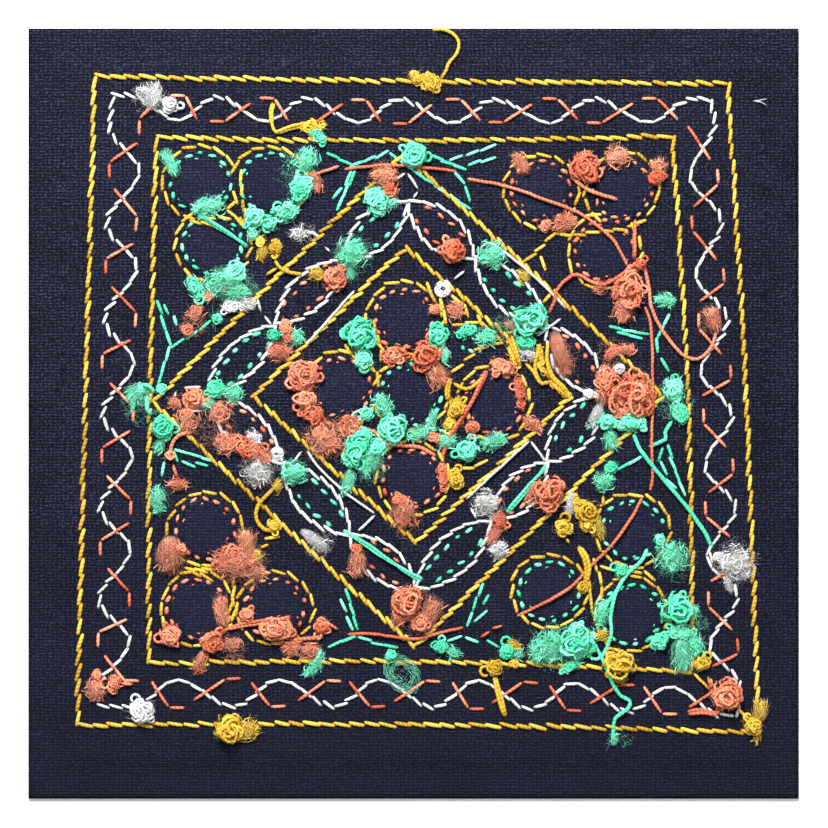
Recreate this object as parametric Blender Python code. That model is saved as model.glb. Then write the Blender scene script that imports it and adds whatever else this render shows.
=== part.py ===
# Mirror work patch, lying face down so that the wrong side of its embroidery shows.
# A square of hand-woven cotton carries round mirrors on its face, below. Each mirror lifts the cloth
# into a low flat-topped dome, and the stitches round it raise a welt. Above the cloth lie the stitched
# lines of the border, the diamonds and the leaf chain, and the larger knots and frayed thread ends.
# Metres, +Z up, origin at the centre of the face that rests on the surface.

import math

import bmesh
import bpy
from mathutils import Vector
from mathutils.geometry import delaunay_2d_cdt

MM = 0.001

# Cloth
CLOTH_SIDE = 154 * MM
CLOTH_THICK = 1.0 * MM
FLAT_MARGIN = 5 * MM  # the part of the sewing margin that lies flat on the surface
MARGIN_RISE = 3.5 * MM  # over this width the cloth rises on to the embroidery of its face
FIELD_LIFT = 0.5 * MM  # thickness of the embroidery below the cloth
FIELD_WAVE = 0.12 * MM
WAVE_LENGTH = 43 * MM
EDGE_STEPS = 14
GRID_STEP = 7.5 * MM
GAP = 0.3 * MM  # between pieces that touch on the real patch

# Mirrors and the welts of stitches round them
MIRROR_RADIUS = 5.3 * MM
MIRROR_THICK = 1.0 * MM
MIRROR_SIDES = 18
DOME_RADIUS = 5.7 * MM
DOME_FOOT = 7.5 * MM
WELT_RADIUS = 6.6 * MM
WELT_HALF = 0.4 * MM
WELT_HEIGHT = 0.35 * MM
RING_POINTS = 14
TOP_RINGS = (DOME_RADIUS, WELT_RADIUS - WELT_HALF, WELT_RADIUS, WELT_RADIUS + WELT_HALF, DOME_FOOT)
UNDER_RINGS = (DOME_RADIUS, DOME_FOOT)

# Stitched lines
LINE_HALF_WIDTH = 0.35 * MM
LINE_HEIGHT = 0.35 * MM
LINE_STEP = 5 * MM
STITCH_LEAN = 0.12 * MM  # each stitch starts a little to one side of the line and ends to the other
CROSSING_LIFT = LINE_HEIGHT + GAP  # where one line passes over another
SIDE_BOW = 0.5 * MM

BORDER_WAVES = 6  # crossings of the border chain on each side, in pairs
WAVE_PHASES = (0, 0.14, 0.25, 0.36, 0.5, 0.64, 0.75, 0.86)
BORDER_AMPLITUDE = {"top": 2.2 * MM, "right": 3.0 * MM, "bottom": 2.2 * MM, "left": 3.2 * MM}
ORANGE_STEEPNESS = 1.6
LEAF_HALF_WIDTH = 2.4 * MM
LEAF_STEPS = 4

# Corners in millimetres from the centre, clockwise from the upper left one
SQUARES = {
    "outer_square": ((-63.7, 67.3), (62.5, 66.0), (68.5, -64.8), (-67.0, -61.8)),
    "inner_square": ((-51.1, 55.1), (51.5, 55.1), (55.9, -51.6), (-52.7, -50.1)),
}
DIAMONDS = {
    "outer_diamond": ((-2.3, 51.3), (49.7, 3.3), (0.3, -46.3), (-50.3, 2.5)),
    "inner_diamond": ((-1.5, 32.7), (31.3, 3.3), (0.3, -25.9), (-31.7, 3.3)),
}
LEAF_TIPS = (
    (-1.7, 44.7), (11.9, 31.7), (26.5, 17.1), (38.5, 4.3), (26.9, -9.7), (15.3, -23.3),
    (-0.1, -34.9), (-13.3, -24.7), (-27.3, -9.7), (-41.3, 4.1), (-27.7, 17.7), (-14.1, 31.1),
)

# Mirror, x and y of its centre in millimetres
MIRRORS = {
    "upper_left_corner": (-42.5, 46.0),
    "upper_left_side": (-28.7, 46.0),
    "upper_left_below": (-40.0, 33.6),
    "upper_right_corner": (41.7, 44.7),
    "upper_right_side": (25.5, 44.3),
    "upper_right_below": (38.1, 32.5),
    "lower_left_corner": (-43.1, -38.9),
    "lower_left_side": (-27.7, -38.9),
    "lower_left_above": (-41.5, -23.1),
    "lower_right_corner": (43.5, -40.1),
    "lower_right_side": (27.1, -35.5),
    "lower_right_above": (43.7, -23.3),
    "centre": (-0.5, 3.7),
    "centre_top": (-1.9, 18.9),
    "centre_right": (16.1, 2.1),
    "centre_bottom": (-0.3, -12.9),
    "centre_left": (-14.5, 5.1),
}

# Shape of a knot or thread end from its root to its tip: place along it, share of width, share of height
FORMS = {
    "knot": ((0.0, 0.55, 0.6), (0.25, 0.95, 0.95), (0.55, 1.0, 1.0), (0.8, 0.8, 0.85), (1.0, 0.45, 0.5)),
    "brush": ((0.0, 0.5, 0.8), (0.16, 0.75, 1.0), (0.36, 0.5, 0.7), (0.62, 0.75, 0.6), (1.0, 0.9, 0.4)),
    "cloud": ((0.0, 0.45, 0.5), (0.2, 0.85, 0.9), (0.45, 1.0, 1.0), (0.7, 0.82, 0.8), (1.0, 0.6, 0.45)),
    "cord": ((0.0, 0.9, 0.9), (0.25, 1.0, 1.0), (0.5, 0.9, 0.9), (0.75, 1.0, 1.0), (1.0, 0.8, 0.8)),
}
TUFT_SIDES = 6
TUFT_LUMP = 0.14

# Knot or thread end: colour, form, root x and y, tip x and y, sideways bend, width and height, in millimetres
TUFTS = {
    "white_end_upper_left": ("white", "brush", -48.4, 61.5, -54.4, 65.4, 0.0, 2.6, 1.6),
    "green_end_second_mirror": ("green", "cloud", -33.0, 36.6, -20.6, 51.0, 4.2, 4.0, 2.4),
    "green_end_first_mirror": ("green", "cloud", -46.4, 39.6, -37.4, 41.4, -0.6, 2.8, 1.8),
    "green_end_third_mirror": ("green", "cloud", -45.6, 25.8, -33.0, 26.4, 1.0, 4.6, 2.2),
    "yellow_knot_top": ("yellow", "knot", 0.2, 66.6, 6.4, 65.0, 0.0, 3.0, 1.8),
    "yellow_tail_top": ("yellow", "cord", 7.0, 67.2, 3.6, 76.0, 3.6, 0.9, 0.9),
    "green_knot_top": ("green", "knot", -1.4, 51.6, 2.8, 51.2, 0.0, 4.2, 2.2),
    "green_end_top_leaf": ("green", "brush", -7.8, 45.2, -5.6, 40.4, 0.0, 4.0, 2.0),
    "orange_knot_top_leaf": ("orange", "knot", 6.2, 34.0, 9.2, 31.2, 0.0, 4.4, 2.2),
    "green_knot_right_leaf": ("green", "knot", 12.9, 31.0, 17.4, 31.6, 0.0, 3.8, 2.0),
    "orange_end_upper_right": ("orange", "brush", 31.6, 47.4, 34.2, 53.2, 0.0, 4.8, 2.2),
    "orange_end_right": ("orange", "brush", 44.6, 34.6, 41.6, 19.6, 0.8, 6.4, 3.0),
    "orange_loop_border": ("orange", "cord", 59.6, 21.2, 58.8, 13.4, 1.6, 1.8, 1.5),
    "orange_knot_right": ("orange", "knot", 37.8, 7.2, 46.0, 0.8, 0.0, 7.0, 3.2),
    "green_end_right": ("green", "cloud", 36.4, -3.0, 46.4, -2.4, -0.6, 4.0, 2.2),
    "green_end_sprig_right": ("green", "knot", 51.0, 7.6, 53.2, -1.6, 0.0, 3.0, 1.8),
    "white_end_border": ("white", "brush", 60.2, -27.4, 66.8, -30.8, 0.0, 5.0, 2.0),
    "yellow_ends_right": ("yellow", "brush", 33.4, -17.2, 37.0, -24.4, 0.0, 3.6, 1.8),
    "green_end_lower_right": ("green", "cloud", 49.6, -34.6, 54.8, -47.6, 0.6, 4.6, 2.8),
    "green_end_right_mirror": ("green", "brush", 47.8, -24.4, 52.4, -30.6, 0.0, 4.6, 2.2),
    "green_knot_lower_right": ("green", "knot", 27.8, -45.6, 35.2, -43.2, 0.0, 6.2, 2.8),
    "yellow_knot_lower_right": ("yellow", "knot", 38.6, -47.0, 43.0, -49.8, 0.0, 4.2, 2.2),
    "orange_knot_corner": ("orange", "knot", 60.2, -58.6, 62.4, -53.8, 0.0, 4.8, 2.4),
    "yellow_ball_bottom": ("yellow", "knot", -38.6, -62.8, -34.0, -63.0, 0.0, 4.4, 2.4),
    "white_ball_bottom": ("white", "knot", -56.0, -59.2, -52.0, -59.6, 0.0, 4.6, 2.4),
    "orange_end_lower_left": ("orange", "brush", -36.6, -27.6, -29.6, -30.4, 0.0, 6.4, 2.8),
    "orange_end_lower_side": ("orange", "cloud", -32.2, -43.0, -22.6, -44.6, 0.0, 5.8, 2.6),
    "orange_knot_bottom": ("orange", "knot", -1.2, -34.8, -0.8, -40.8, 0.0, 5.2, 2.8),
    "green_oval_bottom": ("green", "knot", -4.8, -48.4, -1.4, -53.6, 0.0, 4.4, 2.0),
    "orange_knot_left": ("orange", "knot", -44.0, 5.0, -45.6, -1.4, 0.0, 4.4, 2.4),
    "orange_end_left_leaf": ("orange", "cloud", -38.2, -3.8, -28.8, -9.6, 0.0, 4.2, 2.2),
    "green_end_petal": ("green", "brush", -8.8, 10.6, -11.4, 18.0, 0.0, 5.2, 2.4),
    "orange_end_left_mirror": ("orange", "cloud", -23.0, 9.8, -16.6, -6.4, -2.0, 4.4, 2.4),
    "green_end_centre": ("green", "cloud", -3.6, -3.0, -12.6, -15.4, 2.6, 6.6, 3.2),
}

# Colour, roughness and metallic value of each material
FINISHES = {
    "navy_cotton": ((0.030, 0.034, 0.072, 1), 0.95, 0.0),
    "mirror_glass": ((0.82, 0.85, 0.86, 1), 0.05, 1.0),
    "yellow": ((0.80, 0.48, 0.045, 1), 0.75, 0.0),
    "orange": ((0.72, 0.20, 0.10, 1), 0.75, 0.0),
    "green": ((0.13, 0.66, 0.40, 1), 0.75, 0.0),
    "white": ((0.82, 0.80, 0.77, 1), 0.75, 0.0),
}

laid_points = []  # along the top of every stitched line, so that knots lie on the lines and not in them


def clear_scene():
    for obj in list(bpy.data.objects):
        bpy.data.objects.remove(obj, do_unlink=True)


def in_metres(point):
    return Vector(point) * MM


def smooth(share):
    share = min(1.0, max(0.0, share))
    return share * share * (3 - 2 * share)


def material(name):
    if name in bpy.data.materials:
        return bpy.data.materials[name]
    colour, roughness, metallic = FINISHES[name]
    made = bpy.data.materials.new(name)
    made.use_nodes = True
    shader = made.node_tree.nodes["Principled BSDF"]
    shader.inputs["Base Color"].default_value = colour
    shader.inputs["Roughness"].default_value = roughness
    shader.inputs["Metallic"].default_value = metallic
    made.diffuse_color = colour
    return made


def add_object(name, mesh_bm, finish, parent, is_round=True):
    bmesh.ops.recalc_face_normals(mesh_bm, faces=mesh_bm.faces[:])
    mesh = bpy.data.meshes.new(name)
    mesh_bm.to_mesh(mesh)
    mesh_bm.free()
    if is_round:
        mesh.shade_smooth()
        mesh.set_sharp_from_angle(angle=math.radians(50))
    mesh.materials.append(material(finish))
    obj = bpy.data.objects.new(name, mesh)
    bpy.context.scene.collection.objects.link(obj)
    obj.parent = parent
    return obj


# Form of the cloth


def nearest_mirror(x, y):
    """Distance from a point to the centre of the nearest mirror."""
    return min(math.hypot(x - cx * MM, y - cy * MM) for cx, cy in MIRRORS.values())


def underside(x, y):
    """Height of the cloth's lower face above the surface."""
    from_edge = CLOTH_SIDE / 2 - max(abs(x), abs(y))
    inside = smooth((from_edge - FLAT_MARGIN) / MARGIN_RISE)
    turn = 2 * math.pi / WAVE_LENGTH
    wave = FIELD_WAVE * math.sin(turn * (x + 0.4 * y)) * math.cos(turn * 0.8 * (y - 0.3 * x))
    field = inside * (FIELD_LIFT + wave)
    dome = smooth((DOME_FOOT - nearest_mirror(x, y)) / (DOME_FOOT - DOME_RADIUS))
    return field + dome * (MIRROR_THICK + GAP - field)


def topside(x, y):
    """Height of the cloth's upper face, with the welt of stitches round each mirror."""
    welt = max(0.0, 1 - abs(nearest_mirror(x, y) - WELT_RADIUS) / WELT_HALF)
    return underside(x, y) + CLOTH_THICK + WELT_HEIGHT * welt


def outline():
    """Points round the cut edge of the cloth."""
    half = CLOTH_SIDE / 2
    corners = [(-half, -half), (half, -half), (half, half), (-half, half)]
    points = []
    for start, end in zip(corners, corners[1:] + corners[:1]):
        for step in range(EDGE_STEPS):
            points.append(Vector(start).lerp(Vector(end), step / EDGE_STEPS))
    return points


def inner_points(rings):
    """Points inside the cloth: rings round the mirrors, the foot and top of the margin's rise, and a grid."""
    points = []

    def keep(point, spacing):
        if all((point - other).length > spacing for other in points):
            points.append(point)

    for centre in MIRRORS.values():
        for number, radius in enumerate(rings):
            for turn in range(RING_POINTS):
                angle = 2 * math.pi * (turn + 0.5 * (number % 2)) / RING_POINTS
                point = in_metres(centre) + radius * Vector((math.cos(angle), math.sin(angle)))
                if nearest_mirror(*point) > radius - 0.01 * MM:
                    keep(point, 0.3 * MM)
        keep(in_metres(centre), 0.3 * MM)
    for inset in (FLAT_MARGIN, FLAT_MARGIN + MARGIN_RISE):
        share = 1 - 2 * inset / CLOTH_SIDE
        for point in outline():
            keep(point * share, 1.2 * MM)
    half_count = int((CLOTH_SIDE / 2 - FLAT_MARGIN - MARGIN_RISE) / GRID_STEP)
    for row in range(-half_count, half_count + 1):
        for column in range(-half_count, half_count + 1):
            point = Vector((column + 0.25 * (row % 2), row)) * GRID_STEP
            if nearest_mirror(*point) > DOME_FOOT:
                keep(point, 2.4 * MM)
    return points


def add_face(mesh_bm, rim, points, height, facing_up):
    """Triangulates one face of the cloth and returns the vertices of its rim."""
    flat = rim + points
    verts, _, faces, origins, _, _ = delaunay_2d_cdt(flat, [], [], 0, 1e-7)
    made = [mesh_bm.verts.new((v.x, v.y, height(v.x, v.y))) for v in verts]
    for face in faces:
        corners = [made[i] for i in face]
        mesh_bm.faces.new(corners if facing_up else corners[::-1])
    of_input = {origin: made[i] for i, several in enumerate(origins) for origin in several}
    return [of_input[i] for i in range(len(rim))]


def build_cloth(parent):
    mesh_bm = bmesh.new()
    rim = outline()
    upper = add_face(mesh_bm, rim, inner_points(TOP_RINGS), topside, True)
    lower = add_face(mesh_bm, rim, inner_points(UNDER_RINGS), underside, False)
    for here in range(len(rim)):
        after = (here + 1) % len(rim)
        mesh_bm.faces.new((lower[here], lower[after], upper[after], upper[here]))
    return add_object("cloth", mesh_bm, "navy_cotton", parent, is_round=False)


def build_mirrors(parent):
    for place, (x, y) in MIRRORS.items():
        mesh_bm = bmesh.new()
        bmesh.ops.create_cone(
            mesh_bm,
            cap_ends=True,
            segments=MIRROR_SIDES,
            radius1=MIRROR_RADIUS,
            radius2=MIRROR_RADIUS,
            depth=MIRROR_THICK,
        )
        disc = add_object(f"mirror_{place}", mesh_bm, "mirror_glass", parent)
        disc.location = (x * MM, y * MM, MIRROR_THICK / 2)


# Stitched lines


def side_points(start, end, step, bow=0.0):
    """Points from start up to but not at end, bowed to the left of the way."""
    along = end - start
    left = Vector((-along.y, along.x)).normalized()
    count = max(2, round(along.length / step))
    shares = [number / count for number in range(count)]
    return [start + along * share + left * bow * 4 * share * (1 - share) for share in shares]


def around(corners, step, bow=0.0):
    corners = [in_metres(corner) for corner in corners]
    points = []
    for start, end in zip(corners, corners[1:] + corners[:1]):
        points += side_points(start, end, step, bow)
    return points


def lay_line(name, points, finish, parent, lifts=None):
    """A closed run of stitches with a three-cornered section, laid on the cloth along the points."""
    lifts = lifts or [0.0] * len(points)
    mesh_bm = bmesh.new()
    sections, crests = [], []
    count = len(points)
    for here, point in enumerate(points):
        way = (points[(here + 1) % count] - points[here - 1]).normalized()
        left = Vector((-way.y, way.x))
        middle = point + left * STITCH_LEAN * (1 if here % 2 else -1)
        edges = (middle + left * LINE_HALF_WIDTH, middle - left * LINE_HALF_WIDTH)
        floor = max(topside(*place) for place in (*edges, middle)) + GAP + lifts[here]
        crest = Vector((*middle, floor + LINE_HEIGHT))
        crests.append(crest)
        corners = [(*edges[0], floor), (*edges[1], floor), crest]
        sections.append([mesh_bm.verts.new(corner) for corner in corners])
    for here in range(count):
        after = (here + 1) % count
        for side in range(3):
            other = (side + 1) % 3
            now, then = sections[here], sections[after]
            mesh_bm.faces.new((now[side], now[other], then[other], then[side]))
        laid_points.extend(crests[here].lerp(crests[after], share) for share in (0, 0.25, 0.5, 0.75))
    return add_object(name, mesh_bm, finish, parent)


def border_points(shape):
    """Points of one line of the border chain, and whether each is a crossing; shape gives its offset by phase."""
    outer, inner = SQUARES["outer_square"], SQUARES["inner_square"]
    corners = [(in_metres(a) + in_metres(b)) / 2 for a, b in zip(outer, inner)]
    points, crossings = [], []
    for number, side in enumerate(("top", "right", "bottom", "left")):
        start, end = corners[number], corners[(number + 1) % 4]
        along = end - start
        outwards = Vector((-along.y, along.x)).normalized()
        for wave in range(BORDER_WAVES):
            for phase in WAVE_PHASES:
                offset = shape(phase) * BORDER_AMPLITUDE[side]
                inset = 0.0 if wave or phase else offset  # at a corner the line is offset both ways
                place = start + along * (wave + phase) / BORDER_WAVES + outwards * offset
                points.append(place - along.normalized() * inset)
                crossings.append(phase in (0.25, 0.75))
    return points, crossings


def white_shape(phase):
    return math.cos(2 * math.pi * phase)


def orange_shape(phase):
    return -max(-1.0, min(1.0, ORANGE_STEEPNESS * math.cos(2 * math.pi * phase)))


def leaf_points(first_side):
    """One of the two lines that weave along the leaf chain and cross at every tip."""
    tips = [in_metres(tip) for tip in LEAF_TIPS]
    points, crossings = [], []
    for number, tip in enumerate(tips):
        along = tips[(number + 1) % len(tips)] - tip
        left = Vector((-along.y, along.x)).normalized()
        side = first_side if number % 2 else -first_side
        for step in range(LEAF_STEPS):
            share = step / LEAF_STEPS
            points.append(tip + along * share + left * side * LEAF_HALF_WIDTH * math.sin(math.pi * share))
            crossings.append(step == 0)
    return points, crossings


def build_lines(parent):
    for name, corners in SQUARES.items():
        lay_line(f"yellow_{name}", around(corners, LINE_STEP, SIDE_BOW), "yellow", parent)
    for name, corners in DIAMONDS.items():
        lay_line(f"yellow_{name}", around(corners, LINE_STEP), "yellow", parent)
    points, _ = border_points(white_shape)
    lay_line("white_border_wave", points, "white", parent)
    points, crossings = border_points(orange_shape)
    lay_line("orange_border_chain", points, "orange", parent, [CROSSING_LIFT * over for over in crossings])
    points, _ = leaf_points(1)
    lay_line("white_leaf_line_under", points, "white", parent)
    points, crossings = leaf_points(-1)
    lay_line("white_leaf_line_over", points, "white", parent, [CROSSING_LIFT * over for over in crossings])


# Knots and frayed thread ends


def resting_height(x, y, reach):
    """Height at which a knot of that half width lies on the cloth and on the lines below it."""
    ring = [(x + reach * dx, y + reach * dy) for dx in (-1, 0, 1) for dy in (-1, 0, 1)]
    highest = max(topside(*place) for place in ring)
    near = reach + 2 * LINE_HALF_WIDTH + 0.6 * MM
    tops = [top for px, py, top in laid_points if math.hypot(px - x, py - y) < near]
    return max([highest, *tops]) + GAP


def build_tuft(name, row, parent):
    colour, form, root_x, root_y, tip_x, tip_y, bend, width, height = row
    root, tip = in_metres((root_x, root_y)), in_metres((tip_x, tip_y))
    along = tip - root
    right = Vector((along.y, -along.x)).normalized()
    mesh_bm = bmesh.new()
    sections = []
    for share, wide, high in FORMS[form]:
        place = root + along * share + right * bend * MM * 4 * share * (1 - share)
        way = (along + right * bend * MM * 4 * (1 - 2 * share)).normalized()
        across = Vector((-way.y, way.x))
        half_width, half_height = width * MM * wide / 2, height * MM * high / 2
        floor = resting_height(*place, half_width)
        ring = []
        for side in range(TUFT_SIDES):
            angle = 2 * math.pi * (side + 0.5) / TUFT_SIDES
            lump = 1 + TUFT_LUMP * math.sin(3 * angle + 9 * share + root_x)
            flat = place + across * half_width * lump * math.cos(angle)
            ring.append(mesh_bm.verts.new((*flat, floor + half_height * (1 + math.sin(angle)))))
        sections.append(ring)
    for now, after in zip(sections, sections[1:]):
        for side in range(TUFT_SIDES):
            other = (side + 1) % TUFT_SIDES
            mesh_bm.faces.new((now[side], now[other], after[other], after[side]))
    for ring, outwards in ((sections[0], -along), (sections[-1], along)):
        middle = sum((vert.co for vert in ring), Vector()) / TUFT_SIDES
        reach = min(0.25 * width * MM, 0.3 * along.length) * along.normalized()
        peak = mesh_bm.verts.new(middle + (reach if outwards is along else -reach).to_3d())
        for side in range(TUFT_SIDES):
            mesh_bm.faces.new((ring[side], ring[(side + 1) % TUFT_SIDES], peak))
    return add_object(name, mesh_bm, colour, parent)


def build_tufts(parent):
    for name, row in TUFTS.items():
        build_tuft(name, row, parent)


def main():
    clear_scene()
    patch = bpy.data.objects.new("patch", None)
    bpy.context.scene.collection.objects.link(patch)
    build_cloth(patch)
    build_mirrors(patch)
    build_lines(patch)
    build_tufts(patch)


main()
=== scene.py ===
import random
from math import acos, cos, degrees, hypot, pi, radians, sin, sqrt

import bmesh
import bpy
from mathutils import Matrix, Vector


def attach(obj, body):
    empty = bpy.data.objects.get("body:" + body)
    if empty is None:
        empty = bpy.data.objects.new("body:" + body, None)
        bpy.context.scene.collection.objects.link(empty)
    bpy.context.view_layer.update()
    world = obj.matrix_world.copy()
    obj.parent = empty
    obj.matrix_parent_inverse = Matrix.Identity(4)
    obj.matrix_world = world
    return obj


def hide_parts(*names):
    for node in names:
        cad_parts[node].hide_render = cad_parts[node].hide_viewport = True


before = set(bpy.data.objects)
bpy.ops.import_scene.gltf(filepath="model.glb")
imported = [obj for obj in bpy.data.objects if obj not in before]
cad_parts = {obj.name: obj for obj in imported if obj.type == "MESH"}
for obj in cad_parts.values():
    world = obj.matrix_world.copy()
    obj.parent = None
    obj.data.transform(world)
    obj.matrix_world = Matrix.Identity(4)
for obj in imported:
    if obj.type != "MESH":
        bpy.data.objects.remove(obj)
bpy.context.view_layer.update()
scene = bpy.context.scene
mm = 0.001
dice = random.Random()  # seeded for each pattern, so that it comes out the same every time
between = dice.uniform


def hexColour(code):  # sRGB hex to linear
    shares = [int(code[i:i + 2], 16) / 255 for i in (0, 2, 4)]
    return [c / 12.92 if c < 0.04045 else ((c + 0.055) / 1.055) ** 2.4 for c in shares] + [1.0]


def addNode(tree, kind, inputs=(), output=0, **settings):
    # adds a node with its settings, values and links, and gives back one of its outputs
    node = tree.nodes.new("ShaderNode" + kind)
    for name, value in settings.items():
        setattr(node, name, value)
    for name, value in inputs.items() if isinstance(inputs, dict) else enumerate(inputs):
        if isinstance(value, bpy.types.NodeSocket):
            tree.links.new(value, node.inputs[name])
        else:
            node.inputs[name].default_value = value
    return node.outputs[output]


def newMaterial(name, looks):
    material = bpy.data.materials.new(name)
    material.use_nodes = True
    tree = material.node_tree
    shader = tree.nodes["Principled BSDF"]
    for key, value in looks.items():
        shader.inputs[key].default_value = value
    return material, tree, shader, addNode(tree, "TexCoord", output="Object")


def setRamp(ramp, places, codes):
    elements = ramp.node.color_ramp.elements
    while len(elements) < len(places):
        elements.new(0.5)
    for element, place, code in zip(elements, places, codes):
        element.position = place
        element.color = hexColour(code)


def addPiece(bm, name, material):
    mesh = bpy.data.meshes.new(name)
    bm.to_mesh(mesh)
    bm.free()
    mesh.materials.append(material)
    piece = bpy.data.objects.new(name, mesh)
    scene.collection.objects.link(piece)
    return piece


# the cloth's form, in the same sizes as its solid

patchForm = {
    "side": 154 * mm,
    "thickness": 0.8 * mm,
    "flatMargin": 5 * mm,
    "marginRise": 3.5 * mm,
    "fieldLift": 0.5 * mm,  # the embroidery of the face lies under the cloth
    "fieldWave": 0.12 * mm,
    "waveLength": 43 * mm,
    "mirrorLift": 1.25 * mm,
    "domeRadius": 5.7 * mm,
    "domeFoot": 7.5 * mm,
    "gridCells": 140,
}

# stitches are placed on squared paper of 0.2 mm squares, counted from the upper left
chart = {"square": 0.2 * mm, "middle": 413.5}

mirrorPlaces = {
    "upperLeft": [(201, 183.5), (270, 183.5), (213.5, 245.5)],
    "upperRight": [(622, 190), (541, 192), (604, 251)],
    "lowerLeft": [(198, 608), (275, 608), (206, 529)],
    "lowerRight": [(631, 614), (549, 591), (632, 530)],
    "centre": [(411, 395), (404, 319), (494, 403), (412, 478), (341, 388)],
}


def onChart(column, row):
    return Vector((column - chart["middle"], chart["middle"] - row)) * chart["square"]


mirrorCentres = [onChart(*place) for places in mirrorPlaces.values() for place in places]


def smooth(share):
    share = min(1.0, max(0.0, share))
    return share * share * (3 - 2 * share)


def nearestMirror(x, y):
    return min(hypot(x - c.x, y - c.y) for c in mirrorCentres)


def clothUnder(x, y):
    form = patchForm
    fromEdge = form["side"] / 2 - max(abs(x), abs(y))
    inside = smooth((fromEdge - form["flatMargin"]) / form["marginRise"])
    turn = 2 * pi / form["waveLength"]
    wave = form["fieldWave"] * sin(turn * (x + 0.4 * y)) * cos(turn * 0.8 * (y - 0.3 * x))
    field = inside * (form["fieldLift"] + wave)
    dome = smooth((form["domeFoot"] - nearestMirror(x, y)) / (form["domeFoot"] - form["domeRadius"]))
    return field + dome * (form["mirrorLift"] - field)


def overCloth(flat, height):
    return Vector((flat.x, flat.y, clothUnder(flat.x, flat.y) + patchForm["thickness"] + height))


# threads: every stitch, loop and fibre is one closed tube, bent from a straight one; it is held as its points,
# the radius at each, its number of sides, its tone from dark to pale, and its height as a share of its width

threadShapes = {}


def threadShape(sides, rings):
    if (sides, rings) not in threadShapes:
        bm = bmesh.new()
        bm.verts.layers.float.new("tone")
        bm.verts.layers.float_vector.new("lay")
        bmesh.ops.create_uvsphere(bm, u_segments=sides, v_segments=rings + 1, radius=1)
        for face in bm.faces:
            face.smooth = True
        mesh = bpy.data.meshes.new("thread")
        bm.to_mesh(mesh)
        bm.free()
        places = []  # ring, and the direction out of the middle, of each vertex
        for vert in mesh.vertices:
            ring = round(acos(max(-1, min(1, vert.co.z))) * (rings + 1) / pi)
            out = Vector((vert.co.x, vert.co.y))
            out = out.normalized() if 0 < ring < rings + 1 else Vector((0, 0))
            places.append((ring, out.x, out.y))
        threadShapes[sides, rings] = (mesh, places)
    return threadShapes[sides, rings]


def makeThreads(name, threads, colour, nodes=(), fluffy=False):
    bm = bmesh.new()
    for points, _, sides, _, _ in threads:
        bm.from_mesh(threadShape(sides, len(points) - 2)[0])
    bm.verts.ensure_lookup_table()
    toneLayer = bm.verts.layers.float["tone"]
    layLayer = bm.verts.layers.float_vector["lay"]
    first = 0
    for points, radii, sides, tone, flat in threads:
        last = len(points) - 1
        frames, along, side = [], 0.0, Vector((1, 0, 0))
        for k, point in enumerate(points):
            way = (points[min(k + 1, last)] - points[max(k - 1, 0)]).normalized()
            across = way.cross(Vector((0, 0, 1)))
            if across.length > 0.2:
                side = across.normalized()
            if k:
                along += (point - points[k - 1]).length
            frames.append((point, side, side.cross(way).normalized(), radii[k], along / mm))
        places = threadShape(sides, last - 1)[1]
        for k, (ring, outX, outY) in enumerate(places):
            point, across, up, radius, run = frames[ring]
            vert = bm.verts[first + k]
            vert.co = point + across * (outX * radius) + up * (outY * radius * flat)
            vert[toneLayer] = tone
            vert[layLayer] = (run, outX, outY)
        first += len(places)
    print(f"{name}: {len(threads)} threads, {sum(len(face.verts) - 2 for face in bm.faces)} triangles")
    piece = addPiece(bm, name, threadMaterials[colour, fluffy])
    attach(piece, "root")
    if nodes:
        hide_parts(*nodes)


# stitches

stitchProfile = {  # along a stitch: place, thickness, and height of its middle in thicknesses
    "place": (0, 0.04, 0.15, 0.38, 0.62, 0.85, 0.96, 1),
    "thickness": (0, 0.55, 0.88, 1, 1, 0.88, 0.55, 0),
    "height": (-1.0, -0.6, 0.35, 0.8, 0.8, 0.35, -0.6, -1.0),
}
dotProfile = {
    "place": (0, 0.12, 0.5, 0.88, 1),
    "thickness": (0, 0.7, 1, 0.7, 0),
    "height": (-0.8, -0.2, 0.7, -0.2, -0.8),
}
lineStitch = {
    "length": 3.85 * mm, "step": 3.0 * mm, "radius": 0.415 * mm, "lean": -12, "unevenness": 0.15 * mm,
    "sway": 4,  # degrees to either side
    "halves": (0.44, 0.56),  # least and most of half a stitch, as a share of its length
    "radii": (0.9, 1.08),
    "profile": stitchProfile,
}
dotStitch = {
    "unevenness": 0.22 * mm, "sway": 25, "halves": (0.3, 0.62), "radii": (0.75, 1.1), "profile": dotProfile,
}


def stitch(threads, start, end, radius, profile=stitchProfile, lift=0.0):
    points, radii = [], []
    for place, thickness, height in zip(*profile.values()):
        points.append(overCloth(start.lerp(end, place), height * radius + lift * max(0, height)))
        radii.append(radius * thickness)
    threads.append((points, radii, 6, dice.random(), 0.85))


def turned(vector, degrees):
    angle = radians(degrees)
    c, s = cos(angle), sin(angle)
    return Vector((vector.x * c - vector.y * s, vector.x * s + vector.y * c))


def leftOf(way):
    return Vector((-way.y, way.x))


def strayed(place, most):
    return place + Vector((between(-1, 1), between(-1, 1))) * most


def walk(points, step, offset=0.0):
    # places and directions at even steps along a line of points
    found, run, due = [], 0.0, offset
    for start, end in zip(points, points[1:]):
        length = (end - start).length
        while length > 0 and due <= run + length:
            found.append((start.lerp(end, (due - run) / length), (end - start).normalized()))
            due += step
        run += length
    return found


def sew(threads, place, way, look, lean, length):
    half = turned(way, lean + between(-look["sway"], look["sway"])) * length * between(*look["halves"])
    place = strayed(place, look["unevenness"])
    stitch(threads, place - half, place + half, look["radius"] * between(*look["radii"]), look["profile"])


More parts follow.
